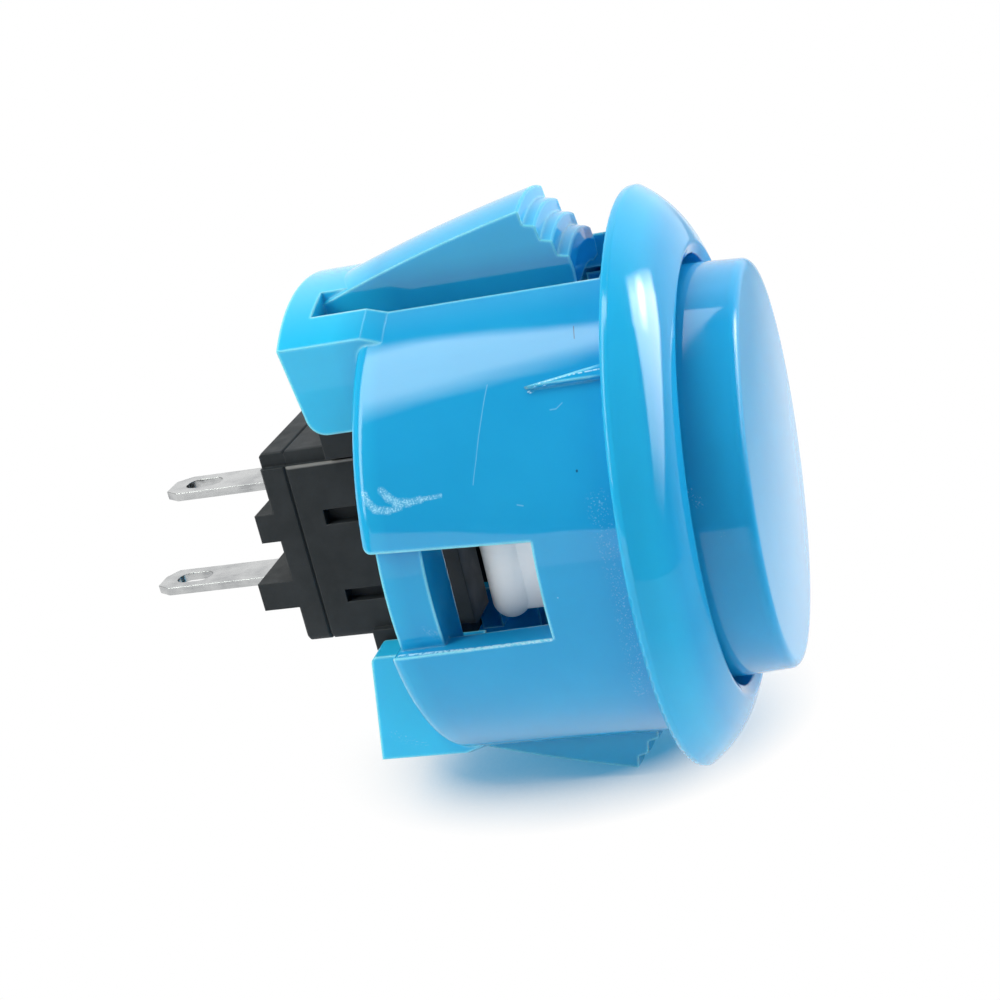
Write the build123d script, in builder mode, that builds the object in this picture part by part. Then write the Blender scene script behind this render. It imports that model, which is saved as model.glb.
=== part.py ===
from build123d import *

import os
from math import sqrt

# Snap-in push button for a round panel hole, in millimetres.
# +Z points out of the panel, and z = 0 is the seat under the rim.
# The snap latches lie along X and the side windows along Y.

# Panel hole and barrel
panel_hole_d = 30.0
barrel_clearance = 0.4
guide_clearance = 0.05
barrel_len = 14.25
barrel_wall = 1.8
barrel_end_round = 0.8

# Rim, a shallow dome with a flat seat
rim_r = 16.75
rim_back_round = 0.25
rim_edge_h = 0.5
rim_height = 3.15
rim_bulge = 0.4
rim_bevel_w = 0.6
rim_bevel_drop = 0.25
rim_crest_round = 0.35

# Plunger and the way it slides in the barrel
plunger_taper = 0.3
plunger_taper_from = 1.5
plunger_height = 6.05
plunger_crown = 0.25
plunger_edge_round = 0.5
plunger_cap_t = 1.6
plunger_wall = 1.3
plunger_travel = 2.0
mouth_gap = 0.45
slide_clearance = 0.2
catch_w = 0.4
lip_len = 2.4
flange_t = 1.4
skirt_below_flange = 0.5
stop_gap = 0.1
stem_r = 3.2
stem_bore_r = 2.0
plunger_rib_t = 1.2
plunger_rib_h = 4.5

# Guide ribs that keep the plunger from turning
guide_rib_w = 1.6
guide_rib_h = 0.5
guide_rib_len = 6.5
guide_rib_gap = 0.25

# Side windows with the recessed strip behind them
window_front = 4.95
window_len = 6.25
window_half_w_front = 2.76
window_half_w_rear = 3.08
strip_depth = 0.9
strip_flare = 0.6
lug_t = 3.5
lug_len = 2.5
lug_side_w = 1.2

# Rear guide blocks, each two cheeks joined by the bar that carries the latch
block_end = 19.0
lower_block_extra = 0.4
block_slant = 0.15
block_half_w = 7.6
block_proud_len = 5.2
block_blend = 1.2
cheek_front = 11.5
cheek_x = 7.75
cheek_round = 1.1
lower_cheek_x = 6.1
lower_cheek_round = 0.4
root_bar_x = 10.6
root_bar_t = 1.9

# Snap latches with stepped teeth for panels of several thicknesses
slot_half_w = 5.4
latch_half_w = 3.2
latch_crown_x = 7.0
latch_inner_gap = 0.3
latch_root_r = 14.7
latch_hollow = 0.2
latch_tip_r = 17.82
latch_tip_z = 4.88
latch_relief = 0.9
tooth_count = 4
tooth_sink = 0.38
tooth_pitch_z = 0.77
tooth_lean = 0.15
tooth_drop = 0.12
tooth_round = 0.12
latch_skin = 1.6
latch_cheek = 1.3
tongue_half_w = 2.95
tongue_len = 3.1

# Crush ribs on the barrel under the rim
crush_rib_w = 0.75
crush_rib_len = 4.4
crush_rib_lean = 0.36
crush_rib_angle = 43.3
crush_rib_root = 0.4

# Switch case
switch_front = 12.3
switch_half_x = 6.1
switch_half_y = 4.72
switch_corner_r = 0.6
switch_wall = 1.2
lid_step_x = 5.25
lid_step_depth = 0.4
switch_edge_cut = 0.12
cover_len = 9.15
base_t = 1.55
island_gap = 0.1
trough_clearance = 0.3
roof_t = 1.0
key_slot_depth = 0.8
key_slot_len = 5.0
key_slot_rear = 1.65
key_slot_a_x = -1.86
key_slot_a_w = 0.96
key_slot_b_x = 3.26
key_slot_b_w = 0.82
barrier_x = -1.57
barrier_w = 1.76
barrier_h = 1.15
boss_x = 2.79
boss_w = 1.76
boss_h = 2.2

# Ears that hold the switch between the cheeks
ear_front = 15.2
ear_t = 3.4
ear_gap = 0.25
ear_seat_gap = 0.1
ledge_w = 1.1
ledge_t = 1.4
snap_catch = 0.3
snap_len = 1.2
snap_gap = 0.1

# Actuator
bar_r = 1.2
bar_half_len = 7.85
bar_above_cover = 1.0
web_half_len = 7.3
web_t = 0.9
web_top = 8.0
actuator_stem_r = 1.1
stem_hole_gap = 0.15
pin_r = 0.75
stop_flange_r = 1.65
stop_flange_t = 0.5
head_r = 1.4
head_t = 0.4
running_gap = 0.05

# Contacts and springs
contact_gap = 1.2
contact_spring_len = 1.5
contact_spring_r = 1.2
contact_spring_wire = 0.16
contact_spring_turns = 3
return_spring_r = 1.2
return_spring_wire = 0.26
return_spring_turns = 5
return_spring_len = 3.5
well_clearance = 0.25
bridge_t = 0.4
bridge_half_len = 4.6
bridge_w = 2.2
bridge_hole_gap = 0.15
contact_r = 0.75
contact_h = 0.4
contact_dome = 0.1
contact_x = 3.85

# Quick-connect blades
blade_x = 3.1
blade_w = 2.8
blade_t = 0.5
blade_fit = 0.02
blade_len_upper = 8.35
blade_len_lower = 10.9
blade_slot_w = 1.4
blade_slot_len = 2.4
blade_slot_from_tip = 1.05
blade_tip_cut_w = 0.6
blade_tip_cut_len = 0.9
pad_end = 4.6
bend_r = 0.2

# Radii that follow from the fits
barrel_r = panel_hole_d / 2 - barrel_clearance
guide_r = panel_hole_d / 2 - guide_clearance
bore_r = barrel_r - barrel_wall
flange_r = bore_r - slide_clearance
lip_r = flange_r - catch_w
plunger_r = lip_r - slide_clearance
mouth_r = plunger_r + mouth_gap
crest_r = mouth_r + rim_bevel_w
strip_r = barrel_r - strip_depth
latch_inner_r = bore_r + latch_inner_gap
tooth_pitch_r = (latch_tip_r - barrel_r + tooth_sink) / tooth_count
ear_half_w = slot_half_w - ear_gap
well_r = return_spring_r + return_spring_wire / 2 + well_clearance

# Levels that follow from the lengths, counted down from the seat
lip_z = -lip_len
flange_top_z = lip_z - stop_gap
flange_z = flange_top_z - flange_t
skirt_z = flange_z - skirt_below_flange
cap_z = plunger_height - plunger_cap_t
web_top_z = -web_top
window_rear_z = -window_front - window_len
lug_rear_z = window_rear_z - lug_len
slot_rear_z = -block_end + root_bar_t
latch_front_z = -latch_tip_z + (tooth_count - 1) * tooth_pitch_z + tooth_drop
relief_z = latch_front_z + latch_relief
bar_z = -switch_front + bar_above_cover
trough_z = bar_z - bar_r - plunger_travel - trough_clearance
roof_z = trough_z - roof_t
stop_flange_z = roof_z - stop_gap - stop_flange_t
bridge_top_z = stop_flange_z - contact_spring_len
bridge_z = bridge_top_z - bridge_t
head_top_z = bridge_z - running_gap
head_z = head_top_z - head_t
fixed_contact_z = bridge_z - contact_h - contact_gap - running_gap
pad_top_z = fixed_contact_z - contact_h
island_z = pad_top_z - blade_t
parting_z = -switch_front - cover_len
base_z = parting_z - base_t
well_z = head_z - return_spring_len

UP = (Align.CENTER, Align.CENTER, Align.MIN)
DOWN = (Align.CENTER, Align.CENTER, Align.MAX)
OUT_X_UP = (Align.MIN, Align.CENTER, Align.MIN)
SIDES = (-1, 1)
GUIDE_ANGLES = (45, 135, 225, 315)

os.makedirs("parts", exist_ok=True)

# Rear blocks, slabs of the guide cylinder with slanting ends, narrower inside the barrel
rear_blocks = []
block_shapes = (
    (-1, cheek_x, cheek_round, block_end),
    (1, lower_cheek_x, lower_cheek_round, block_end + lower_block_extra),
)
for side, inner_x, inner_round, end in block_shapes:
    inner_end_z = -end + block_slant * (guide_r - inner_x)
    with BuildPart() as block:
        with Locations((0, 0, -end)):
            Cylinder(guide_r, end - block_end + block_proud_len, align=UP)
            Cylinder(bore_r + slide_clearance, end - cheek_front, align=UP)
        with Locations((0, 0, -block_end + block_proud_len)):
            Cone(guide_r, barrel_r, block_blend, align=UP)
        with BuildSketch(Plane.XZ):
            with BuildLine():
                Polyline(
                    (inner_x, 0),
                    (panel_hole_d, 0),
                    (panel_hole_d, -end),
                    (guide_r, -end),
                    (inner_x, inner_end_z),
                    close=True,
                )
            make_face()
        extrude(amount=block_half_w, both=True, mode=Mode.INTERSECT)
        fillet(block.edges().filter_by(Axis.Y).sort_by(Axis.X)[0], inner_round)
        with Locations((0, 0, -end)):
            Box(root_bar_x, 2 * slot_half_w, end, align=OUT_X_UP, mode=Mode.SUBTRACT)
    rear_blocks.append(block.part if side > 0 else block.part.mirror(Plane.YZ))

# Cut that frees the +X latch and leaves it room to spring inwards
with BuildPart() as latch_slot:
    with Locations((0, 0, slot_rear_z)):
        Cylinder(panel_hole_d, -slot_rear_z, align=UP)
        Cylinder(bore_r, -slot_rear_z, align=UP, mode=Mode.SUBTRACT)
        Cylinder(panel_hole_d, relief_z - slot_rear_z, align=UP)
    with Locations((cheek_x, 0, slot_rear_z)):
        Box(panel_hole_d, 2 * slot_half_w, -slot_rear_z, align=OUT_X_UP, mode=Mode.INTERSECT)

# Latch on the +X side: a crowned wedge, turned about its own axis, with stepped teeth facing the rim
crests = [latch_tip_r - n * tooth_pitch_r for n in reversed(range(tooth_count))]
levels = [-latch_tip_z + n * tooth_pitch_z for n in reversed(range(tooth_count))]
steps = []
for crest, level in zip(crests, levels):
    steps += [(crest - tooth_pitch_r + tooth_lean, level + tooth_drop), (crest, level)]
with BuildPart() as latch:
    with BuildSketch(Plane.XZ):
        with BuildLine():
            teeth = Polyline((latch_inner_r, latch_front_z), *steps)
            ramp = SagittaArc(teeth @ 1, (latch_root_r, slot_rear_z), latch_hollow)
            Polyline(
                ramp @ 1,
                (latch_root_r, slot_rear_z - root_bar_t / 2),
                (latch_inner_r, slot_rear_z - root_bar_t / 2),
                teeth @ 0,
            )
        make_face()
    revolve(axis=Axis((latch_crown_x, 0, 0), (0, 0, 1)))
    with Locations((bore_r, 0, -block_end)):
        Box(panel_hole_d, 2 * latch_half_w, block_end, align=OUT_X_UP, mode=Mode.INTERSECT)
    crest_radii = [crest - latch_crown_x for crest in crests]
    crowns = latch.edges().filter_by(GeomType.CIRCLE)
    fillet(crowns.filter_by(lambda e: min(abs(e.radius - r) for r in crest_radii) < 1e-6), tooth_round)
    # core of the wedge, open towards the axis
    rise = (latch_tip_r - latch_root_r) / (-latch_tip_z - slot_rear_z)
    core_front_z = -latch_tip_z - latch_skin / 2
    core_rear_z = slot_rear_z + 2 * latch_skin
    with BuildSketch(Plane.XZ):
        with BuildLine():
            Polyline(
                (bore_r, core_front_z),
                (latch_root_r - latch_skin + rise * (core_front_z - slot_rear_z), core_front_z),
                (latch_root_r - latch_skin + rise * (core_rear_z - slot_rear_z), core_rear_z),
                (bore_r, core_rear_z),
                close=True,
            )
        make_face()
    extrude(amount=latch_half_w - latch_cheek, both=True, mode=Mode.SUBTRACT)

# Tongue that carries the block's round surface on to the latch's root
with BuildPart() as tongue:
    with Locations((0, 0, slot_rear_z - root_bar_t / 2)):
        Cylinder(guide_r, tongue_len + root_bar_t / 2, align=UP)
        Cylinder(latch_inner_r, tongue_len + root_bar_t / 2, align=UP, mode=Mode.SUBTRACT)
        Box(panel_hole_d, 2 * tongue_half_w, block_end, align=OUT_X_UP, mode=Mode.INTERSECT)

# Windows on both sides, with a strip left behind each one and rounded rear corners
flare_mid = strip_flare * (1 - sqrt(0.5))
flare_w = window_half_w_rear + strip_flare
with BuildPart() as window_cut:
    with BuildSketch(Plane.XZ):
        with BuildLine():
            Polyline(
                (-window_half_w_rear, -barrel_len + strip_flare),
                (-window_half_w_front, -window_front),
                (window_half_w_front, -window_front),
                (window_half_w_rear, -barrel_len + strip_flare),
            )
            for side in SIDES:
                ThreePointArc(
                    (side * window_half_w_rear, -barrel_len + strip_flare),
                    (side * (window_half_w_rear + flare_mid), -barrel_len + flare_mid),
                    (side * flare_w, -barrel_len),
                )
            Line((-flare_w, -barrel_len), (flare_w, -barrel_len))
        make_face()
    extrude(amount=panel_hole_d, both=True)
    with Locations((0, 0, lug_rear_z)):
        Cylinder(strip_r, lug_len, align=UP, mode=Mode.SUBTRACT)

# Lugs that thicken the strips
with BuildPart() as lugs:
    with Locations((0, 0, lug_rear_z)):
        Cylinder(strip_r, lug_len, align=UP)
        Box(2 * (window_half_w_rear + lug_side_w), 2 * strip_r, lug_len, align=UP, mode=Mode.INTERSECT)
        Box(panel_hole_d, 2 * (strip_r - lug_t), lug_len, align=UP, mode=Mode.SUBTRACT)

# Crush rib at +X, pointed away from the rim and leaning to one side
with BuildPart() as crush_rib:
    with BuildSketch(Plane.YZ.offset(barrel_r - crush_rib_root)):
        Polygon((-crush_rib_w / 2, 0), (crush_rib_w / 2, 0), (-crush_rib_lean, -crush_rib_len), align=None)
    extrude(amount=guide_r - barrel_r + crush_rib_root)

# Guide rib at +X, standing in from the bore
with BuildPart() as guide_rib:
    with Locations((bore_r - guide_rib_h, 0, lip_z)):
        Box(
            guide_rib_h + slide_clearance,
            guide_rib_w,
            guide_rib_len,
            align=(Align.MIN, Align.CENTER, Align.MAX),
        )

# Housing
with BuildPart() as housing:
    with BuildSketch(Plane.XZ):
        with BuildLine():
            barrel = Line((barrel_r, -barrel_len), (barrel_r, 0))
            seat = Line(barrel @ 1, (rim_r - rim_back_round, 0))
            back = RadiusArc(seat @ 1, (rim_r, rim_back_round), -rim_back_round)
            edge = Line(back @ 1, (rim_r, rim_edge_h))
            dome = SagittaArc(edge @ 1, (crest_r, rim_height), -rim_bulge)
            Polyline(
                dome @ 1,
                (mouth_r, rim_height - rim_bevel_drop),
                (lip_r, rim_edge_h),
                (lip_r, lip_z),
                (bore_r, lip_z),
                (bore_r, -barrel_len),
                barrel @ 0,
            )
        make_face()
    revolve(axis=Axis.Z)
    circles = housing.edges().filter_by(GeomType.CIRCLE).group_by(Axis.Z)
    fillet(circles[0].sort_by(SortBy.RADIUS)[-1], barrel_end_round)
    fillet(circles[-1], rim_crest_round)
    for rear_block in rear_blocks:
        add(rear_block)
    for slot in (latch_slot.part, latch_slot.part.mirror(Plane.YZ)):
        add(slot, mode=Mode.SUBTRACT)
    add(window_cut.part, mode=Mode.SUBTRACT)
    add(lugs.part)
    for half in (tongue.part, latch.part):
        add(half)
        add(half.mirror(Plane.YZ))
    # crush ribs on the -X side, which press the barrel against the other side of the hole
    rib = crush_rib.part.rotate(Axis.Z, 90 + crush_rib_angle)
    add(rib)
    add(rib.mirror(Plane.XZ))
    # ledges that stop the switch's ears, and notches for the ears' snap teeth
    for x_side in SIDES:
        for y_side in SIDES:
            middle = x_side * (cheek_x + root_bar_x) / 2
            with Locations((middle, y_side * (slot_half_w - ledge_w / 2), -ear_front + ear_seat_gap)):
                Box(root_bar_x - cheek_x, ledge_w, ledge_t, align=UP)
            with Locations((middle, y_side * slot_half_w, -ear_front - ear_t / 2)):
                Box(
                    snap_len + 2 * snap_gap,
                    2 * (snap_catch + snap_gap),
                    snap_len + 2 * snap_gap,
                    mode=Mode.SUBTRACT,
                )
    for angle in GUIDE_ANGLES:
        add(guide_rib.part.rotate(Axis.Z, angle))
housing.part.label = "housing"
export_step(housing.part, "parts/housing.step")

# Notch in the plunger's flange for a guide rib, at +X
with BuildPart() as guide_notch:
    with Locations((bore_r - guide_rib_h - guide_rib_gap, 0, flange_z)):
        Box(bore_r, guide_rib_w + 2 * guide_rib_gap, flange_t, align=OUT_X_UP)

# Plunger, with a flange under the housing's lip and a stem down to the actuator
crown_r = (plunger_r**2 + plunger_crown**2) / (2 * plunger_crown)
with BuildPart() as plunger:
    with BuildSketch(Plane.XZ):
        with BuildLine():
            top_r = plunger_r - plunger_taper
            mid_drop = crown_r - sqrt(crown_r**2 - (top_r / 2) ** 2)
            end_drop = crown_r - sqrt(crown_r**2 - top_r**2)
            crown = ThreePointArc(
                (0, plunger_height + plunger_crown),
                (top_r / 2, plunger_height + plunger_crown - mid_drop),
                (top_r, plunger_height + plunger_crown - end_drop),
            )
            Polyline(
                crown @ 1,
                (plunger_r, plunger_taper_from),
                (plunger_r, flange_top_z),
                (flange_r, flange_top_z),
                (flange_r, flange_z),
                (plunger_r, flange_z),
                (plunger_r, skirt_z),
                (plunger_r - plunger_wall, skirt_z),
                (plunger_r - plunger_wall, cap_z),
                (0, cap_z),
                crown @ 0,
            )
        make_face()
    revolve(axis=Axis.Z)
    rounds = plunger.edges().filter_by(GeomType.CIRCLE).filter_by(lambda e: e.radius < flange_r)
    fillet(rounds.sort_by(Axis.Z)[-1], plunger_edge_round)
    with Locations((0, 0, cap_z)):
        Cylinder(stem_r, cap_z - web_top_z - running_gap, align=DOWN)
        Box(2 * plunger_r - plunger_wall, plunger_rib_t, plunger_rib_h, align=DOWN)
        Box(plunger_rib_t, 2 * plunger_r - plunger_wall, plunger_rib_h, align=DOWN)
        Cylinder(stem_bore_r, cap_z - web_top_z, align=DOWN, mode=Mode.SUBTRACT)
    for angle in GUIDE_ANGLES:
        add(guide_notch.part.rotate(Axis.Z, angle), mode=Mode.SUBTRACT)
    # the skirt is cut away behind the latches
    with Locations(*[(side * plunger_r, 0, relief_z) for side in SIDES]):
        Box(
            2 * (plunger_wall + catch_w + slide_clearance),
            2 * (slot_half_w + slide_clearance),
            relief_z - skirt_z,
            align=DOWN,
            mode=Mode.SUBTRACT,
        )
plunger.part.label = "plunger"
export_step(plunger.part, "parts/plunger.step")

# Step along the upper edge of the switch's long faces
with BuildPart() as lid_step:
    with Locations(*[(-lid_step_x, side * switch_half_y, base_z) for side in SIDES]):
        Box(
            switch_half_x,
            2 * lid_step_depth,
            cover_len + base_t,
            align=(Align.MAX, Align.CENTER, Align.MIN),
        )

# Switch cover, with the trough for the actuator's bar and the ears that hold it in the housing
inner_half_x = switch_half_x - switch_wall
inner_half_y = switch_half_y - switch_wall
with BuildPart() as switch_cover:
    with BuildSketch(Plane.XY.offset(parting_z)):
        RectangleRounded(2 * switch_half_x, 2 * switch_half_y, switch_corner_r)
    extrude(amount=cover_len)
    chamfer(switch_cover.edges().group_by(Axis.Z)[0], switch_edge_cut)
    add(lid_step.part, mode=Mode.SUBTRACT)
    ear_root_x = switch_half_x - switch_corner_r
    ear_len = root_bar_x - ear_gap - ear_root_x
    with Locations(*[(side * (ear_root_x + ear_len / 2), 0, -ear_front) for side in SIDES]):
        Box(ear_len, 2 * ear_half_w, ear_t, align=DOWN)
    # round snap teeth on the ears
    snap_x = (cheek_x + root_bar_x) / 2
    with Locations(*[
        (x_side * snap_x, y_side * ear_half_w, -ear_front - ear_t / 2)
        for x_side in SIDES
        for y_side in SIDES
    ]):
        Cylinder(ear_gap + snap_catch, snap_len, rotation=(0, 90, 0))
    with Locations((0, 0, parting_z)):
        Box(2 * inner_half_x, 2 * inner_half_y, roof_z - parting_z, align=UP, mode=Mode.SUBTRACT)
    with Locations((0, 0, trough_z)):
        Box(
            2 * switch_half_x,
            2 * (bar_r + trough_clearance),
            -switch_front - trough_z,
            align=UP,
            mode=Mode.SUBTRACT,
        )
    with Locations((0, 0, roof_z)):
        Cylinder(actuator_stem_r + stem_hole_gap, roof_t, align=UP, mode=Mode.SUBTRACT)
    # key slots in both long faces
    for slot_x, slot_w in ((key_slot_a_x, key_slot_a_w), (key_slot_b_x, key_slot_b_w)):
        with Locations(*[
            (slot_x, side * switch_half_y, parting_z + key_slot_rear) for side in SIDES
        ]):
            Box(slot_w, 2 * key_slot_depth, key_slot_len, align=UP, mode=Mode.SUBTRACT)
switch_cover.part.label = "switch_cover"
export_step(switch_cover.part, "parts/switch_cover.step")

# Switch base, with a barrier and a boss behind it and an island for the terminals in front
with BuildPart() as switch_base:
    with BuildSketch(Plane.XY.offset(base_z)):
        RectangleRounded(2 * switch_half_x, 2 * switch_half_y, switch_corner_r)
    extrude(amount=base_t)
    chamfer(switch_base.edges().group_by(Axis.Z)[0], switch_edge_cut)
    chamfer(switch_base.edges().group_by(Axis.Z)[-1], switch_edge_cut)
    add(lid_step.part, mode=Mode.SUBTRACT)
    for rear_x, rear_w, rear_h in ((barrier_x, barrier_w, barrier_h), (boss_x, boss_w, boss_h)):
        with Locations((rear_x, 0, parting_z - base_t / 2)):
            Box(rear_w, 2 * switch_half_y, base_t / 2 + rear_h, align=DOWN)
    with Locations((0, 0, parting_z)):
        Box(
            2 * (inner_half_x - island_gap),
            2 * (inner_half_y - island_gap),
            island_z - parting_z,
            align=UP,
        )
    with Locations((0, 0, well_z)):
        Cylinder(well_r, island_z - well_z, align=UP, mode=Mode.SUBTRACT)
    with Locations(*[(side * blade_x, 0, island_z) for side in SIDES]):
        Box(
            blade_t + 2 * blade_fit,
            blade_w + 2 * blade_fit,
            island_z - base_z + boss_h,
            align=DOWN,
            mode=Mode.SUBTRACT,
        )
switch_base.part.label = "switch_base"
export_step(switch_base.part, "parts/switch_base.step")

# Actuator: round cross bar, web, and a stem that carries the contact bridge
with BuildPart() as actuator:
    with Locations((0, 0, bar_z)):
        Cylinder(bar_r, 2 * (bar_half_len - bar_r), rotation=(0, 90, 0))
        Box(2 * web_half_len, web_t, web_top_z - bar_z, align=UP)
    with Locations(*[(side * (bar_half_len - bar_r), 0, bar_z) for side in SIDES]):
        Sphere(bar_r)
    with Locations((0, 0, stop_flange_z)):
        Cylinder(actuator_stem_r, bar_z - stop_flange_z, align=UP)
        Cylinder(stop_flange_r, stop_flange_t, align=UP)
    with Locations((0, 0, head_z)):
        Cylinder(pin_r, stop_flange_z - head_z, align=UP)
        Cylinder(head_r, head_t, align=UP)
actuator.part.label = "actuator"
export_step(actuator.part, "parts/actuator.step")

# Contact spring and return spring, as open coils
springs = (
    ("contact_spring", contact_spring_r, contact_spring_wire, contact_spring_turns, bridge_top_z, stop_flange_z),
    ("return_spring", return_spring_r, return_spring_wire, return_spring_turns, well_z, head_z),
)
for name, coil_r, wire, turns, low_z, high_z in springs:
    end_gap = wire / 2 + running_gap
    height = high_z - low_z - 2 * end_gap
    with BuildPart() as spring:
        with BuildLine():
            coil = Helix(height / turns, height, coil_r, center=(0, 0, low_z + end_gap))
        with BuildSketch(Plane(origin=coil @ 0, z_dir=coil % 0)):
            Circle(wire / 2)
        sweep()
    spring.part.label = name
    export_step(spring.part, f"parts/{name}.step")

# Contact bridge
with BuildPart() as contact_bridge:
    with BuildSketch(Plane.XY.offset(bridge_z)):
        SlotOverall(2 * bridge_half_len, bridge_w)
        Circle(pin_r + bridge_hole_gap, mode=Mode.SUBTRACT)
    extrude(amount=bridge_t)
contact_bridge.part.label = "contact_bridge"
export_step(contact_bridge.part, "parts/contact_bridge.step")

# Contact buttons, two under the bridge and two on the terminals
buttons = (
    ("moving_contact_upper", -contact_x, bridge_z - contact_h, 0),
    ("moving_contact_lower", contact_x, bridge_z - contact_h, 0),
    ("fixed_contact_upper", -contact_x, pad_top_z, -1),
    ("fixed_contact_lower", contact_x, pad_top_z, -1),
)
for name, button_x, low_z, face in buttons:
    with BuildPart() as button:
        with Locations((button_x, 0, low_z)):
            Cylinder(contact_r, contact_h, align=UP)
        fillet(button.edges().group_by(Axis.Z)[face], contact_dome)
    button.part.label = name
    export_step(button.part, f"parts/{name}.step")

# Terminals, each a slotted blade bent into a pad under its fixed contact
for name, side, blade_len in (
    ("terminal_upper", -1, blade_len_upper),
    ("terminal_lower", 1, blade_len_lower),
):
    tip_z = base_z - blade_len
    near_x = side * (blade_x - blade_t / 2)
    far_x = side * (blade_x + blade_t / 2)
    with BuildPart() as terminal:
        with BuildSketch(Plane.XZ):
            with BuildLine():
                Polyline(
                    (near_x, tip_z),
                    (near_x, pad_top_z),
                    (side * pad_end, pad_top_z),
                    (side * pad_end, island_z),
                    (far_x, island_z),
                    (far_x, tip_z),
                    close=True,
                )
            make_face()
        extrude(amount=blade_w / 2, both=True)
        bend = terminal.edges().filter_by(Axis.Y).group_by(Axis.Z)[-1].sort_by(Axis.X)
        fillet(bend[0 if side > 0 else -1], bend_r)
        tip_corners = terminal.edges().filter_by(Axis.X).group_by(Axis.Z)[0]
        chamfer(tip_corners, blade_tip_cut_len, blade_tip_cut_w)
        with BuildSketch(Plane.YZ):
            with Locations((0, tip_z + blade_slot_from_tip + blade_slot_len / 2)):
                SlotOverall(blade_slot_len, blade_slot_w, rotation=90)
        extrude(amount=2 * blade_x, both=True, mode=Mode.SUBTRACT)
    terminal.part.label = name
    export_step(terminal.part, f"parts/{name}.step")
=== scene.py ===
import math

import bpy
from mathutils import Matrix, Vector


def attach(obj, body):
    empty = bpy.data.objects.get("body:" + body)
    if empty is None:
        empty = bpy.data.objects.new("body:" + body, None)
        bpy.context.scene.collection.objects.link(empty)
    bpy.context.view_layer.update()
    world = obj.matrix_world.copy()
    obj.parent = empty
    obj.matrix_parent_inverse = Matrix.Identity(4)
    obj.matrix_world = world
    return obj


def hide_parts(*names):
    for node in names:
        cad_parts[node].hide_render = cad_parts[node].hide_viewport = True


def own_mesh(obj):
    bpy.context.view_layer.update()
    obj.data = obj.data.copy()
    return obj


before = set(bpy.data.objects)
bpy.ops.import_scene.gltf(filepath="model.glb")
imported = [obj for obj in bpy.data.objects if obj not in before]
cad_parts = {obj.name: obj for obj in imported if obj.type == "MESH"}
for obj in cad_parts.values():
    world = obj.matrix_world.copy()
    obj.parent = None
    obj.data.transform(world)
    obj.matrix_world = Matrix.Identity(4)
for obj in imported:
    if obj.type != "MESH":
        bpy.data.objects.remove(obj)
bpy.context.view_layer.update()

MM = 0.001
WHITE = (1.0, 1.0, 1.0, 1.0)
scene = bpy.context.scene
scene.view_settings.view_transform = "Standard"

# Camera, at the photograph's angle
CAMERA_PLACE = Vector((-0.03498, -0.09210, 0.01889))
CAMERA_TOWARDS_RIM = math.radians(16.65)
CAMERA_TOWARDS_LATCH = math.radians(20.92)
CAMERA_ROLL = math.radians(7.11)
CAMERA_LENS = 61.97
CAMERA_SENSOR = 36.0
CAMERA_NEAREST = 0.005

# Paper: a white sheet under the lower latch, with a soft shade close to the button, partly cast and partly
# a painted shade that glows in a bluish colour, that ends in plain white
PAPER_X = 17.9 * MM
PAPER_FRONT_Y = -0.105
PAPER_RIGHT_Z = 0.05
PAPER_SIZE = 6.0
PAPER_FIBRE = 0.02
PAPER_WHITES = ((0.84, 0.84, 0.84, 1.0), (0.86, 0.86, 0.86, 1.0))
PAPER_SHADE = (0.05, 0.32, 0.56, 1.0)
SHADE_REACH = 7.0 * MM
SHADE_OPEN_SPAN = (0.25, 0.95)
SHADE_SHARE = 0.7
SHADOW_MIDDLE = (17.9 * MM, 5.0 * MM, -11.0 * MM)
SHADOW_REACH = (1.0, 10.8 * MM, 12.8 * MM)
SHADOW_EDGE = (0.75, 1.30)
MIRRORED_SPAN = (9.0 * MM, 22.0 * MM)
MIRRORED_LEVELS = (0.95, 0.45)

# Room: dim in front of the button and bright behind it
ROOM_FRONT = 0.10
ROOM_BACK = 0.90
ROOM_BRIGHT_SIDE = (-0.45, 0.90, 0.0)
ROOM_TURN = (-0.15, 0.35)
BACKDROP_SPAN = (0.25, 0.70)

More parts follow.
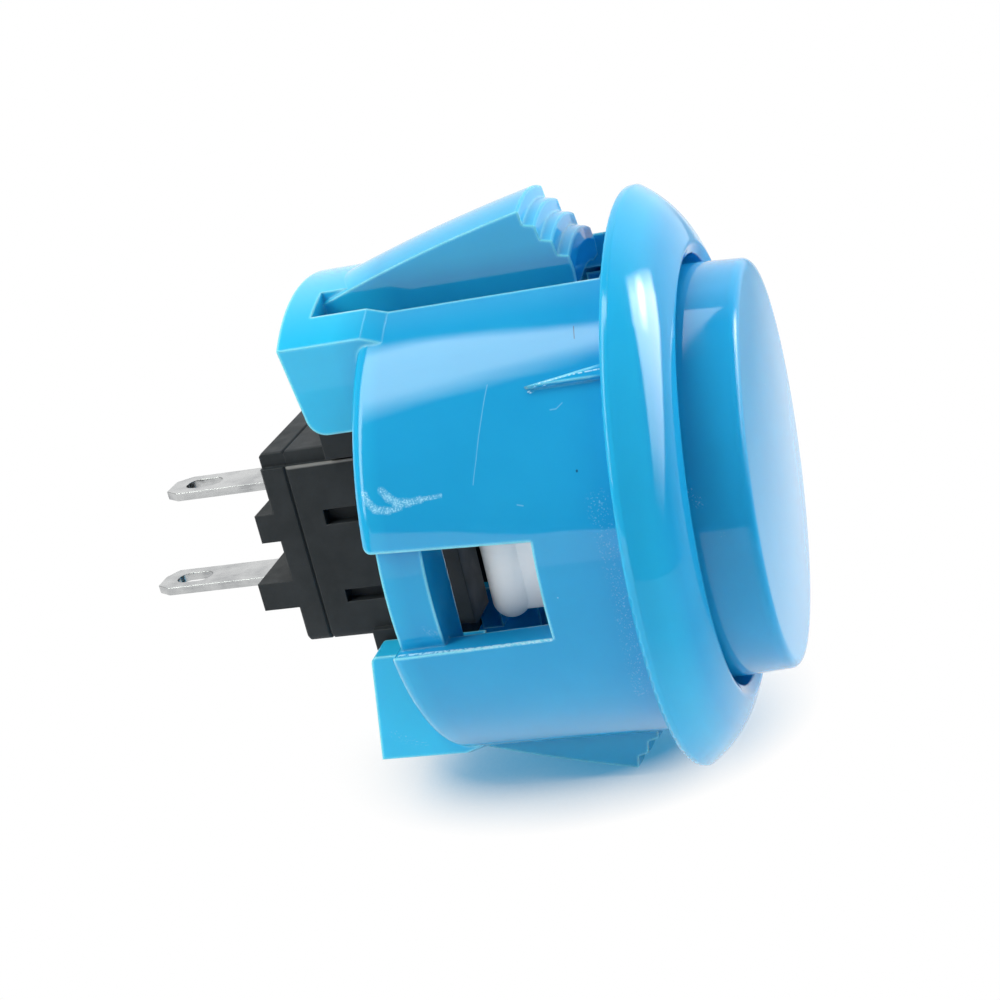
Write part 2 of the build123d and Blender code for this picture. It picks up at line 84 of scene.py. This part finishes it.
# Lamps: a point that each one faces, the run of its long side, its size in metres and power in watts,
# the shares of its length and width that fade out, and its level and width at the two ends of the run
BUTTON = (0.0, 0.0, -0.008)
WIDEST_SHARE = 0.65
LAMPS = {
    "softbox": {
        "place": (-0.30, -0.155, -0.227),
        "faces": BUTTON,
        "run": (0.0, 0.75, 0.66),
        "size": (0.60, 0.17),
        "power": 2.0,
        "fade": (0.06, 0.22),
        "tint": (0.96, 1.0, 0.94),
    },
    "upper_window": {
        "place": (-0.30, 0.0475, -0.0384),
        "faces": (0.0, 0.0475, -0.0384),
        "run": (0.0, 1.0, 0.0),
        "size": (0.195, 0.045),
        "power": 0.085,
        "fade": (0.01, 0.02),
    },
    "side_card": {
        "place": (-0.038, 0.042, 0.11),
        "faces": (-0.038, 0.042, 0.0),
        "run": (-0.68, 0.733, 0.0),
        "size": (0.15, 0.072),
        "power": 0.42,
        "fade": (0.22, 0.12),
        "levels": (0.13, 1.0),
        "widths": (0.22, 1.0),
    },
    "side_bulb": {
        "place": (-0.069, 0.068, 0.1095),
        "faces": (-0.069, 0.068, 0.0),
        "run": (-0.60, 0.80, 0.0),
        "size": (0.060, 0.022),
        "power": 0.055,
        "fade": (0.40, 0.40),
    },
    "front_card": {
        "place": (0.012, -0.20, -0.082),
        "faces": BUTTON,
        "run": (0.61, 0.0, 0.79),
        "size": (0.12, 0.08),
        "power": 0.04,
        "fade": (0.02, 0.02),
    },
    "front_fill": {
        "place": (-0.10, -0.28, 0.26),
        "faces": BUTTON,
        "run": (0.0, 0.0, 1.0),
        "size": (0.20, 0.20),
        "power": 0.27,
        "mirrored": False,
    },
    "actuator_fill": {
        "place": (-0.104, -0.328, 0.047),
        "faces": (0.0048, -0.0009, -0.0105),
        "run": (0.0, 0.0, 1.0),
        "size": (0.08, 0.08),
        "power": 0.75,
        "mirrored": False,
        "only": "actuator",
    },
}

# Springs in the place of rigid ones: the rigid one that each stands for, its body, its still end
# and the share of its length that is left at full press
SPRINGS = {
    "return_coil": {
        "node": "return_spring",
        "body": "frame_body",
        "still_z": -22.20 * MM,
        "share": 0.40,
    },
    "contact_coil": {
        "node": "contact_spring",
        "body": "actuator_body",
        "still_z": -16.45 * MM,
        "share": 0.42,
    },
}

# Blue moulding: its colours, where it is painted paler as if more brightly lit, and its marks: those of
# handling, painted glints and painted highlight lines
BLUE = (0.012, 0.33, 0.65, 1.0)
BLUE_FLOW = (0.014, 0.35, 0.675, 1.0)
# Pale edges, partly wear and partly painted highlight
BLUE_EDGE = (0.26, 0.78, 0.97, 1.0)
# Paler blue: painted light where the rim and rear blocks catch more light
BLUE_PAINTED_LIGHT = (0.022, 0.55, 0.88, 1.0)
# Pale of scuffs, scratches and dust, also of the painted highlight lines
SCUFF_AND_HIGHLIGHT_PALE = (0.42, 0.74, 0.90, 1.0)
SPECK_DARK = (0.006, 0.07, 0.17, 1.0)
# Painted glint
GLINT_PALE = (0.34, 0.70, 0.91, 1.0)
# Where the painted-light blue is laid: out from the axis, and towards the rear
PAINTED_LIGHT_RADII = (14.7 * MM, 15.8 * MM)
PAINTED_LIGHT_RADII_SHARE = 0.38
PAINTED_LIGHT_REAR_Z = (-12.5 * MM, -15.5 * MM)
PAINTED_LIGHT_REAR_SHARE = 0.8
# Where pale edges, partly wear and partly painted highlight, are laid, and how wide
EDGE_WEAR_AND_HIGHLIGHT_Z = (-0.3 * MM, -0.9 * MM)
EDGE_WEAR_AND_HIGHLIGHT_REACH = 0.28
HAIRLINE_DIRECTIONS = (
    ((9.0, 9.0, 0.25), (0.3, 0.5, 0.0)),
    ((0.3, 0.3, 12.0), (0.2, 0.1, 0.4)),
)

# Marks, each from a point to a point and with a width, in millimetres
HOUSING_MARKS = {
    "scratches": (
        ((-10.17, -10.47, -6.48), (-9.57, -11.02, -6.65), 0.035),
        ((-9.57, -11.02, -6.65), (-8.74, -11.69, -6.85), 0.035),
        ((-8.74, -11.69, -6.85), (-7.89, -12.28, -7.06), 0.035),
        ((-7.89, -12.28, -7.06), (-7.01, -12.80, -7.25), 0.035),
        ((-7.01, -12.80, -7.25), (-6.34, -13.15, -7.43), 0.030),
        ((-6.34, -13.15, -7.43), (-5.88, -13.36, -7.54), 0.030),
        ((-8.76, -11.68, -3.15), (-8.76, -11.67, -2.84), 0.045),
        ((-8.76, -11.67, -2.84), (-8.98, -11.51, -2.51), 0.040),
        ((-4.68, -13.83, -5.34), (-4.60, -13.85, -5.04), 0.045),
    ),
    # Broken pale lines along edges: painted highlight on the window sill and the crush rib, and a pale worn
    # line on the lower block
    "pale_lines": (
        ((3.08, -13.91, -13.65), (2.93, -14.21, -9.56), 0.17),
        ((2.93, -14.21, -9.56), (2.81, -14.33, -5.11), 0.14),
        ((6.40, -7.60, -18.95), (8.20, -7.60, -19.15), 0.16),
        ((8.60, -7.60, -19.15), (12.0, -7.60, -19.25), 0.12),
        ((-9.64, -10.96, -4.28), (-10.06, -11.07, -3.53), 0.06),
        ((-10.06, -11.07, -3.53), (-10.21, -10.92, -1.94), 0.05),
        ((-10.21, -10.92, -1.94), (-10.28, -10.86, -0.42), 0.05),
        ((-9.59, -11.01, -4.18), (-9.90, -11.03, -3.25), 0.06),
    ),
    "scuffs": (
        ((-4.40, -13.92, -1.15), (-1.60, -14.51, -0.95), 0.75),
        ((-1.60, -14.51, -0.95), (1.40, -14.53, -0.90), 0.60),
        ((1.40, -14.53, -0.90), (4.40, -13.92, -1.05), 0.60),
        ((4.40, -13.92, -1.05), (7.20, -12.70, -1.35), 0.60),
        ((11.28, -7.60, -17.89), (11.86, -7.60, -16.77), 0.45),
        ((11.86, -7.60, -16.77), (12.05, -7.60, -16.18), 0.30),
        ((1.86, -13.57, -12.01), (2.30, -13.51, -11.50), 0.32),
    ),
    "specks": (
        ((-11.98, -8.35, -1.88), (-11.51, -8.98, -1.82), 0.035),
        ((-5.93, -13.34, -2.03), (-5.90, -13.36, -2.03), 0.075),
    ),
    # Painted glints: sparkles of highlight near the rear of the barrel
    "painted_glints": (
        ((-6.12, -13.25, -13.51), (-5.67, -13.45, -13.34), 0.22),
        ((-5.67, -13.45, -13.34), (-5.29, -13.61, -13.00), 0.26),
        ((-5.29, -13.61, -13.00), (-5.16, -13.65, -12.29), 0.26),
        ((-5.16, -13.65, -12.29), (-5.24, -13.63, -11.62), 0.20),
        ((-6.16, -13.24, -12.55), (-5.78, -13.40, -12.21), 0.26),
        ((-5.78, -13.40, -12.21), (-5.50, -13.52, -11.80), 0.29),
        ((-5.50, -13.52, -11.80), (-5.43, -13.55, -11.15), 0.29),
        ((-5.43, -13.55, -11.15), (-5.50, -13.52, -10.48), 0.24),
        ((-5.50, -13.52, -10.48), (-5.57, -13.49, -9.37), 0.15),
    ),
}
PLUNGER_MARKS = {
    "scratches": (((-2.10, -11.71, 5.25), (-1.90, -11.74, 5.05), 0.035),),
    "pale_lines": (),
    "scuffs": (
        ((-3.25, -11.44, 3.00), (-2.70, -11.58, 3.45), 0.40),
        ((-0.95, -11.86, 4.33), (-0.85, -11.87, 4.33), 0.20),
    ),
    "specks": (),
    "painted_glints": (),
}
BLUE_MOULDINGS = {
    "blue_housing": {"edge_round": 0.18, "ripple_depth": 0.0012, "marks": HOUSING_MARKS},
    "blue_plunger": {"edge_round": 0.45, "ripple_depth": 0.0003, "marks": PLUNGER_MARKS},
}

# Black plastic of the switch, with a painted highlight along one edge of its case
BLACK = (0.022, 0.026, 0.029, 1.0)
BLACK_MOTTLE = (0.031, 0.035, 0.039, 1.0)
BLACK_EDGE = (0.05, 0.053, 0.056, 1.0)
LINT_GREY = (0.14, 0.14, 0.14, 1.0)
SHEEN_GREY = (0.26, 0.25, 0.24, 1.0)
SHEEN_LINE = ((-5.20, -4.72, -21.25), (-5.25, -4.72, -13.50), 0.16)

# White nylon of the actuator
NYLON = (0.82, 0.90, 0.94, 1.0)
NYLON_CLOUD = (0.88, 0.93, 0.96, 1.0)

# Metals: bright and dull colour, stretch of the streaks, range of roughness and round of the edges
METALS = {
    "spring_steel": {
        "bright": (0.60, 0.60, 0.61, 1.0),
        "dull": (0.42, 0.42, 0.43, 1.0),
        "stretch": (6.0, 6.0, 1.0),
        "roughness": (0.18, 0.32),
        "edge_round": 0.02,
    },
    "copper_strip": {
        "bright": (0.66, 0.36, 0.19, 1.0),
        "dull": (0.45, 0.22, 0.11, 1.0),
        "stretch": (1.0, 7.0, 7.0),
        "roughness": (0.22, 0.38),
        "edge_round": 0.06,
    },
    "contact_silver": {
        "bright": (0.80, 0.79, 0.76, 1.0),
        "dull": (0.62, 0.60, 0.56, 1.0),
        "stretch": (3.0, 3.0, 3.0),
        "roughness": (0.20, 0.36),
        "edge_round": 0.06,
    },
    "plated_blade": {
        "bright": (0.58, 0.59, 0.59, 1.0),
        "dull": (0.36, 0.37, 0.38, 1.0),
        "stretch": (7.0, 7.0, 0.6),
        "roughness": (0.16, 0.34),
        "edge_round": 0.06,
    },
}

# The finish of each piece
PIECE_FINISHES = {
    "housing": "blue_housing",
    "plunger": "blue_plunger",
    "switch_cover": "black_plastic",
    "switch_base": "black_plastic",
    "actuator": "white_nylon",
    "return_spring": "spring_steel",
    "contact_spring": "spring_steel",
    "contact_bridge": "copper_strip",
    "moving_contact_upper": "contact_silver",
    "moving_contact_lower": "contact_silver",
    "fixed_contact_upper": "contact_silver",
    "fixed_contact_lower": "contact_silver",
    "terminal_upper": "plated_blade",
    "terminal_lower": "plated_blade",
}


def supply(tree, socket, value):
    """Links another node's output to a socket, or sets the socket to a constant."""
    if isinstance(value, bpy.types.NodeSocket):
        tree.links.new(value, socket)
    else:
        socket.default_value = value


def put(tree, kind, inputs=None, **settings):
    """Adds a node, sets its options and feeds its inputs from numbers, colours or other nodes."""
    node = tree.nodes.new(kind)
    for name, value in settings.items():
        setattr(node, name, value)
    for key, value in (inputs or {}).items():
        supply(tree, node.inputs[key], value)
    return node


def math_of(tree, operation, first, second, clamp=False):
    """Two numbers combined by one operation."""
    node = put(tree, "ShaderNodeMath", {0: first, 1: second}, operation=operation, use_clamp=clamp)
    return node.outputs[0]


def vector_of(tree, operation, first, second):
    """A vector that is two vectors combined by one operation."""
    node = put(tree, "ShaderNodeVectorMath", {0: first, 1: second}, operation=operation)
    return node.outputs["Vector"]


def measure_of(tree, operation, first, second=(0.0, 0.0, 0.0)):
    """A number measured on two vectors by one operation."""
    node = put(tree, "ShaderNodeVectorMath", {0: first, 1: second}, operation=operation)
    return node.outputs["Value"]


def remap(tree, value, low, high, to_low=0.0, to_high=1.0):
    """A value stretched from one range to another and held inside it."""
    inputs = {"Value": value, "From Min": low, "From Max": high, "To Min": to_low, "To Max": to_high}
    return put(tree, "ShaderNodeMapRange", inputs).outputs["Result"]


def blend(tree, amount, under, over):
    """Two colours laid over each other by an amount."""
    node = put(tree, "ShaderNodeMix", {0: amount, 6: under, 7: over}, data_type="RGBA")
    return node.outputs[2]


def mix_shaders(tree, amount, under, over):
    """Two shaders laid over each other by an amount."""
    return put(tree, "ShaderNodeMixShader", {0: amount, 1: under, 2: over}).outputs[0]


def strongest(tree, masks):
    """One mask out of many."""
    total = masks[0]
    for mask in masks[1:]:
        total = math_of(tree, "MAXIMUM", total, mask)
    return total


def axis_of(tree, vector, axis):
    """One coordinate of a vector."""
    return put(tree, "ShaderNodeSeparateXYZ", {"Vector": vector}).outputs[axis]


def grain(tree, place, size, detail=3.0, stretch=(1.0, 1.0, 1.0), turn=(0.0, 0.0, 0.0)):
    """Noise whose lumps are about as large as size, stretched and turned like the marks of a tool."""
    scaled = put(tree, "ShaderNodeMapping", {"Vector": place, "Rotation": turn, "Scale": stretch})
    inputs = {"Vector": scaled.outputs["Vector"], "Scale": 1.0 / size, "Detail": detail, "Roughness": 0.55}
    return put(tree, "ShaderNodeTexNoise", inputs).outputs["Fac"]


def dust(tree, place, spacing, size, share):
    """Fine specks on a few of the points of a scattered lattice."""
    cells = put(tree, "ShaderNodeTexVoronoi", {"Vector": place, "Scale": 1.0 / spacing})
    near = remap(tree, cells.outputs["Distance"], size / spacing, 0.5 * size / spacing)
    pick = put(tree, "ShaderNodeSeparateColor", {"Color": cells.outputs["Color"]}).outputs["Red"]
    return math_of(tree, "MULTIPLY", near, math_of(tree, "LESS_THAN", pick, share))


def stroke(tree, place, start, end, width):
    """A mark along a short line on the surface, between two points in millimetres."""
    first = Vector(start) * MM
    run = Vector(end) * MM - first
    offset = vector_of(tree, "SUBTRACT", place, first)
    along = measure_of(tree, "DOT_PRODUCT", offset, run)
    share = math_of(tree, "DIVIDE", along, run.length_squared, clamp=True)
    foot = put(tree, "ShaderNodeVectorMath", {0: run, "Scale": share}, operation="SCALE").outputs["Vector"]
    away = measure_of(tree, "DISTANCE", offset, foot)
    return remap(tree, away, width * MM, 0.4 * width * MM)


def strokes(tree, place, marks):
    """A mask for each of the marks."""
    return [stroke(tree, place, *mark) for mark in marks]


def worn_and_highlit_edges(tree, reach):
    """The outer edges of a piece, where a rounded normal turns away from the true one: the mask of pale
    edges, partly wear and partly painted highlight.
    """
    rounded = put(tree, "ShaderNodeBevel", {"Radius": reach * MM}, samples=6).outputs["Normal"]
    true = put(tree, "ShaderNodeNewGeometry").outputs["Normal"]
    agree = measure_of(tree, "DOT_PRODUCT", rounded, true)
    inputs = {"Distance": 4 * reach * MM}
    shaded = put(tree, "ShaderNodeAmbientOcclusion", inputs, only_local=True, samples=6)
    outer = remap(tree, shaded.outputs["AO"], 0.55, 0.85)
    return math_of(tree, "MULTIPLY", remap(tree, agree, 0.992, 0.92), outer)


def eased_edges(tree, radius, height, depth):
    """A normal with small rounds on the edges and a fine bump over the whole surface."""
    rounds = put(tree, "ShaderNodeBevel", {"Radius": radius * MM}, samples=6)
    inputs = {"Strength": 1.0, "Distance": depth * MM, "Height": height, "Normal": rounds.outputs["Normal"]}
    return put(tree, "ShaderNodeBump", inputs).outputs["Normal"]


def start_finish(name):
    """A new material, its tree, its shader and the coordinates that its marks read."""
    finish = bpy.data.materials.new(name)
    finish.use_nodes = True
    tree = finish.node_tree
    place = put(tree, "ShaderNodeTexCoord").outputs["Object"]
    return finish, tree, tree.nodes["Principled BSDF"], place


def feed(tree, shader, **inputs):
    """Links or sets the shader's sockets, which are named with underscores for spaces."""
    for name, value in inputs.items():
        supply(tree, shader.inputs[name.replace("_", " ")], value)


def blue_moulding(name, edge_round, ripple_depth, marks):
    """Glossy sky-blue plastic with pale edges, fine scratches, rim scuffs and dark specks."""
    finish, tree, shader, place = start_finish(name)

    # Colour of the moulding, with painted light: paler at the rim and the rear, where more light falls, and
    # paler along its edges
    flow = remap(tree, grain(tree, place, 6.0 * MM, 2.0), 0.35, 0.65)
    colour = blend(tree, flow, BLUE, BLUE_FLOW)
    along = axis_of(tree, place, "Z")
    radius = measure_of(tree, "LENGTH", vector_of(tree, "MULTIPLY", place, (1.0, 1.0, 0.0)))
    outer = remap(tree, radius, *PAINTED_LIGHT_RADII, 0.0, PAINTED_LIGHT_RADII_SHARE)
    rear = remap(tree, along, *PAINTED_LIGHT_REAR_Z, 0.0, PAINTED_LIGHT_REAR_SHARE)
    colour = blend(tree, math_of(tree, "MAXIMUM", outer, rear), colour, BLUE_PAINTED_LIGHT)
    # Pale edges behind the rim, partly wear and partly painted highlight
    behind_rim = remap(tree, along, *EDGE_WEAR_AND_HIGHLIGHT_Z)
    worn_and_highlit = math_of(tree, "MULTIPLY", worn_and_highlit_edges(tree, EDGE_WEAR_AND_HIGHLIGHT_REACH), behind_rim)
    colour = blend(tree, worn_and_highlit, colour, BLUE_EDGE)

    # Pale marks: broken lines along edges, most of them painted highlight, sparse scuffs, scratches and
    # dust
    broken = remap(tree, grain(tree, place, 0.20 * MM, 3.0), 0.40, 0.52)
    lines = [math_of(tree, "MULTIPLY", line, broken) for line in strokes(tree, place, marks["pale_lines"])]
    sparse = remap(tree, grain(tree, place, 0.10 * MM, 3.0), 0.58, 0.66)
    rubbed = math_of(tree, "MULTIPLY", strongest(tree, strokes(tree, place, marks["scuffs"])), sparse)
    cut = strongest(tree, strokes(tree, place, marks["scratches"]))
    motes = dust(tree, place, 2.6 * MM, 0.045 * MM, 0.30)
    strengths = ((rubbed, 0.3), (cut, 0.3), (motes, 0.6))
    faint = [math_of(tree, "MULTIPLY", mask, strength) for mask, strength in strengths]
    pale = strongest(tree, lines + faint)
    colour = blend(tree, pale, colour, SCUFF_AND_HIGHLIGHT_PALE)

    # Painted glints broken into sparkles, and dark specks
    sharp = remap(tree, grain(tree, place, 0.075 * MM, 1.0), 0.52, 0.62, 0.22, 1.0)
    for glint in strokes(tree, place, marks["painted_glints"]):
        colour = blend(tree, math_of(tree, "MULTIPLY", glint, sharp), colour, GLINT_PALE)
    for speck in strokes(tree, place, marks["specks"]):
        colour = blend(tree, speck, colour, SPECK_DARK)

    # Gloss, duller on hairlines and marks, over a slight ripple
    fine = [grain(tree, place, 1.0 * MM, 2.0, stretch, turn) for stretch, turn in HAIRLINE_DIRECTIONS]
    hairlines = strongest(tree, [remap(tree, line, 0.70, 0.74) for line in fine])
    handled = remap(tree, grain(tree, place, 3.0 * MM, 4.0), 0.35, 0.70, 0.025, 0.06)
    rough = math_of(tree, "ADD", handled, math_of(tree, "MULTIPLY", hairlines, 0.10))
    rough = math_of(tree, "ADD", rough, math_of(tree, "MULTIPLY", pale, 0.35), clamp=True)
    ripple = grain(tree, place, 1.1 * MM, 1.0)
    height = math_of(tree, "SUBTRACT", ripple, math_of(tree, "MULTIPLY", cut, 0.5))
    feed(
        tree,
        shader,
        Base_Color=colour,
        Roughness=rough,
        IOR=1.47,
        Subsurface_Weight=0.25,
        Subsurface_Radius=(0.25, 0.8, 1.0),
        Subsurface_Scale=1.0 * MM,
        Normal=eased_edges(tree, edge_round, height, ripple_depth),
    )
    return finish


def black_moulding(name):
    """Fine matte black plastic, a little paler along its edges, partly wear and partly painted highlight,
    with a painted highlight line on its case.
    """
    finish, tree, shader, place = start_finish(name)
    mottle = remap(tree, grain(tree, place, 2.2 * MM, 4.0), 0.35, 0.65)
    colour = blend(tree, mottle, BLACK, BLACK_MOTTLE)
    # Edges paler, partly wear and partly painted highlight
    colour = blend(tree, worn_and_highlit_edges(tree, 0.10), colour, BLACK_EDGE)
    colour = blend(tree, dust(tree, place, 1.3 * MM, 0.045 * MM, 0.25), colour, LINT_GREY)
    # Painted highlight line along one edge of the case
    colour = blend(tree, stroke(tree, place, *SHEEN_LINE), colour, SHEEN_GREY)
    texture = grain(tree, place, 0.10 * MM, 3.0)
    rough = remap(tree, grain(tree, place, 1.5 * MM, 3.0), 0.3, 0.7, 0.46, 0.62)
    feed(
        tree,
        shader,
        Base_Color=colour,
        Roughness=rough,
        IOR=1.27,
        Normal=eased_edges(tree, 0.12, texture, 0.010),
    )
    return finish


def white_nylon(name):
    """Milky nylon that lets a little light through."""
    finish, tree, shader, place = start_finish(name)
    cloud = remap(tree, grain(tree, place, 2.5 * MM, 3.0), 0.35, 0.65)
    texture = grain(tree, place, 0.25 * MM, 2.0)
    rough = remap(tree, grain(tree, place, 1.2 * MM, 3.0), 0.3, 0.7, 0.55, 0.68)
    feed(
        tree,
        shader,
        Base_Color=blend(tree, cloud, NYLON, NYLON_CLOUD),
        Roughness=rough,
        IOR=1.53,
        Specular_IOR_Level=0.15,
        Subsurface_Weight=0.6,
        Subsurface_Radius=(1.0, 1.0, 1.0),
        Subsurface_Scale=1.5 * MM,
        Normal=eased_edges(tree, 0.15, texture, 0.008),
    )
    return finish


def drawn_metal(name, bright, dull, stretch, roughness, edge_round):
    """Metal with the streaks of its drawing or stamping, and dull patches between bright ones."""
    finish, tree, shader, place = start_finish(name)
    streak = grain(tree, place, 0.5 * MM, 3.0, stretch)
    patch = remap(tree, grain(tree, place, 1.4 * MM, 4.0), 0.40, 0.66)
    shade = math_of(tree, "MULTIPLY", patch, remap(tree, streak, 0.30, 0.70, 0.4, 1.0))
    feed(
        tree,
        shader,
        Base_Color=blend(tree, shade, bright, dull),
        Metallic=1.0,
        Roughness=remap(tree, streak, 0.3, 0.7, *roughness),
        Normal=eased_edges(tree, edge_round, streak, 0.0015),
    )
    return finish


def make_finishes():
    """All finishes of the button, by name."""
    finishes = {name: blue_moulding(name, **setting) for name, setting in BLUE_MOULDINGS.items()}
    finishes["black_plastic"] = black_moulding("black_plastic")
    finishes["white_nylon"] = white_nylon("white_nylon")
    for name, setting in METALS.items():
        finishes[name] = drawn_metal(name, **setting)
    return finishes


def paint(piece, finish):
    """Gives a piece one finish in place of those it has."""
    piece.data.materials.clear()
    piece.data.materials.append(finish)


def add_spring(name, finish, node, body, still_z, share):
    """A coil in the place of a rigid spring, carried by the spring's body."""
    coil = bpy.data.objects.new(name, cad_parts[node].data.copy())
    scene.collection.objects.link(coil)
    paint(coil, finish)
    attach(coil, body)
    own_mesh(coil)
    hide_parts(node)


def aim(place, target, run):
    """A place that faces a target, with its first axis along a run."""
    back = (Vector(place) - Vector(target)).normalized()
    first = (Vector(run) - Vector(run).dot(back) * back).normalized()
    second = back.cross(first)
    turn = Matrix((first, second, back)).transposed().to_4x4()
    return Matrix.Translation(Vector(place)) @ turn


def soften(light, fade, levels, widths):
    """Lets a lamp fade out at its edges, and change its level and width along its run."""
    light.use_nodes = True
    tree = light.node_tree
    surface = put(tree, "ShaderNodeNewGeometry").outputs["Parametric"]
    across = put(tree, "ShaderNodeSeparateXYZ", {"Vector": surface}).outputs
    level = remap(tree, across["X"], 0.0, 1.0, *levels)
    width = remap(tree, across["X"], 0.0, WIDEST_SHARE, *widths)
    for axis, share, reach in zip(("X", "Y"), fade, (1.0, width)):
        away = math_of(tree, "ABSOLUTE", math_of(tree, "SUBTRACT", across[axis], 0.5), 0.0)
        away = math_of(tree, "DIVIDE", away, reach)
        level = math_of(tree, "MULTIPLY", level, remap(tree, away, 0.5, 0.5 - share))
    tree.links.new(level, tree.nodes["Emission"].inputs["Strength"])


def add_lamp(
    name,
    place,
    faces,
    run,
    size,
    power,
    fade=None,
    levels=(1.0, 1.0),
    widths=(1.0, 1.0),
    tint=(1.0, 1.0, 1.0),
    mirrored=True,
    only=None,
):
    """A rectangular lamp that faces a point and stays out of the picture."""
    light = bpy.data.lights.new(name, "AREA")
    light.shape = "RECTANGLE"
    light.size, light.size_y = size
    light.energy = power
    light.color = tint
    if fade:
        soften(light, fade, levels, widths)
    lamp = bpy.data.objects.new(name, light)
    lamp.matrix_world = aim(place, faces, run)
    lamp.visible_camera = False
    lamp.visible_glossy = mirrored
    scene.collection.objects.link(lamp)
    if only:
        lit = bpy.data.collections.new(name)
        lit.objects.link(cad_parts[only])
        lamp.light_linking.receiver_collection = lit


def ray_kinds(tree):
    """Whether a ray comes from the camera, and whether it is mirrored or let through."""
    ray = put(tree, "ShaderNodeLightPath").outputs
    return ray["Is Camera Ray"], strongest(tree, [ray["Is Glossy Ray"], ray["Is Transmission Ray"]])


def paper_finish():
    """White paper with a soft shade close to the button, partly cast and partly painted, clear when it is
    seen from below.
    """
    finish = bpy.data.materials.new("white_paper")
    finish.use_nodes = True
    tree = finish.node_tree
    tree.nodes.clear()
    place = put(tree, "ShaderNodeTexCoord").outputs["Object"]
    camera, mirrored = ray_kinds(tree)
    seen = strongest(tree, [camera, mirrored])

    # Close to the button: lit paper, mixed with a painted shade, a glowing colour that deepens under the
    # button where the paper is less open
    fibre = blend(tree, grain(tree, place, PAPER_FIBRE, 2.0), *PAPER_WHITES)
    lit = put(tree, "ShaderNodeBsdfDiffuse", {"Color": fibre}).outputs[0]
    open_above = put(tree, "ShaderNodeAmbientOcclusion", {"Distance": SHADE_REACH}, samples=8).outputs["AO"]
    shade = blend(tree, remap(tree, open_above, *SHADE_OPEN_SPAN), PAPER_SHADE, WHITE)
    glow = put(tree, "ShaderNodeEmission", {"Color": shade}).outputs[0]
    near = mix_shaders(tree, math_of(tree, "MULTIPLY", seen, SHADE_SHARE), lit, glow)

    # Further off: plain white, a little dimmer to mirrored rays
    dimmer = remap(tree, axis_of(tree, place, "Z"), *MIRRORED_SPAN, *MIRRORED_LEVELS)
    level = remap(tree, mirrored, 0.0, 1.0, 1.0, dimmer)
    white = put(tree, "ShaderNodeEmission", {"Strength": level}).outputs[0]
    offset = vector_of(tree, "SUBTRACT", place, SHADOW_MIDDLE)
    away = measure_of(tree, "LENGTH", vector_of(tree, "DIVIDE", offset, SHADOW_REACH))
    far = math_of(tree, "MULTIPLY", remap(tree, away, *SHADOW_EDGE), seen)

    clear = put(tree, "ShaderNodeBsdfTransparent").outputs[0]
    below = put(tree, "ShaderNodeNewGeometry").outputs["Backfacing"]
    surface = mix_shaders(tree, below, mix_shaders(tree, far, near, white), clear)
    put(tree, "ShaderNodeOutputMaterial", {"Surface": surface})
    return finish


def add_paper():
    """The sheet of paper that keeps the button's shadow, partly cast and partly painted."""
    bpy.ops.object.select_all(action="DESELECT")
    middle = (PAPER_X, PAPER_FRONT_Y + PAPER_SIZE / 2, PAPER_RIGHT_Z - PAPER_SIZE / 2)
    bpy.ops.mesh.primitive_plane_add(size=PAPER_SIZE, location=middle, rotation=(0.0, -math.pi / 2, 0.0))
    paper = bpy.context.object
    paper.name = "white_paper"
    bpy.ops.object.transform_apply(location=True, rotation=True, scale=True)
    paper.data.materials.append(paper_finish())


def add_room():
    """A room that is white to the camera, with its light and a mirrored backdrop behind the button."""
    room = bpy.data.worlds.new("white_room")
    room.use_nodes = True
    scene.world = room
    tree = room.node_tree
    tree.nodes.clear()
    facing = put(tree, "ShaderNodeTexCoord").outputs["Generated"]
    turned = measure_of(tree, "DOT_PRODUCT", facing, ROOM_BRIGHT_SIDE)
    level = remap(tree, turned, *ROOM_TURN, ROOM_FRONT, ROOM_BACK)
    backdrop = remap(tree, axis_of(tree, facing, "Y"), *BACKDROP_SPAN, ROOM_FRONT, 1.0)
    camera, mirrored = ray_kinds(tree)
    strength = remap(tree, mirrored, 0.0, 1.0, level, backdrop)
    strength = math_of(tree, "MAXIMUM", strength, camera)
    light = put(tree, "ShaderNodeBackground", {"Color": WHITE, "Strength": strength}).outputs[0]
    put(tree, "ShaderNodeOutputWorld", {"Surface": light})


def add_camera():
    """The photograph's camera."""
    back = Vector((
        -math.cos(CAMERA_TOWARDS_RIM) * math.sin(CAMERA_TOWARDS_LATCH),
        -math.cos(CAMERA_TOWARDS_RIM) * math.cos(CAMERA_TOWARDS_LATCH),
        math.sin(CAMERA_TOWARDS_RIM),
    ))
    level = aim(back, (0.0, 0.0, 0.0), (0.0, 0.0, 1.0)).to_3x3().to_4x4()
    turn = level @ Matrix.Rotation(-CAMERA_ROLL, 4, "Z")
    data = bpy.data.cameras.new("photo_camera")
    data.lens = CAMERA_LENS
    data.sensor_width = CAMERA_SENSOR
    data.clip_start = CAMERA_NEAREST
    camera = bpy.data.objects.new("photo_camera", data)
    camera.matrix_world = Matrix.Translation(CAMERA_PLACE) @ turn
    scene.collection.objects.link(camera)
    scene.camera = camera


add_camera()
add_room()
add_paper()
for lamp_name, lamp_setting in LAMPS.items():
    add_lamp(lamp_name, **lamp_setting)

finishes = make_finishes()
for piece_name, finish_name in PIECE_FINISHES.items():
    paint(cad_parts[piece_name], finishes[finish_name])
for coil_name, coil_setting in SPRINGS.items():
    add_spring(coil_name, finishes["spring_steel"], **coil_setting)
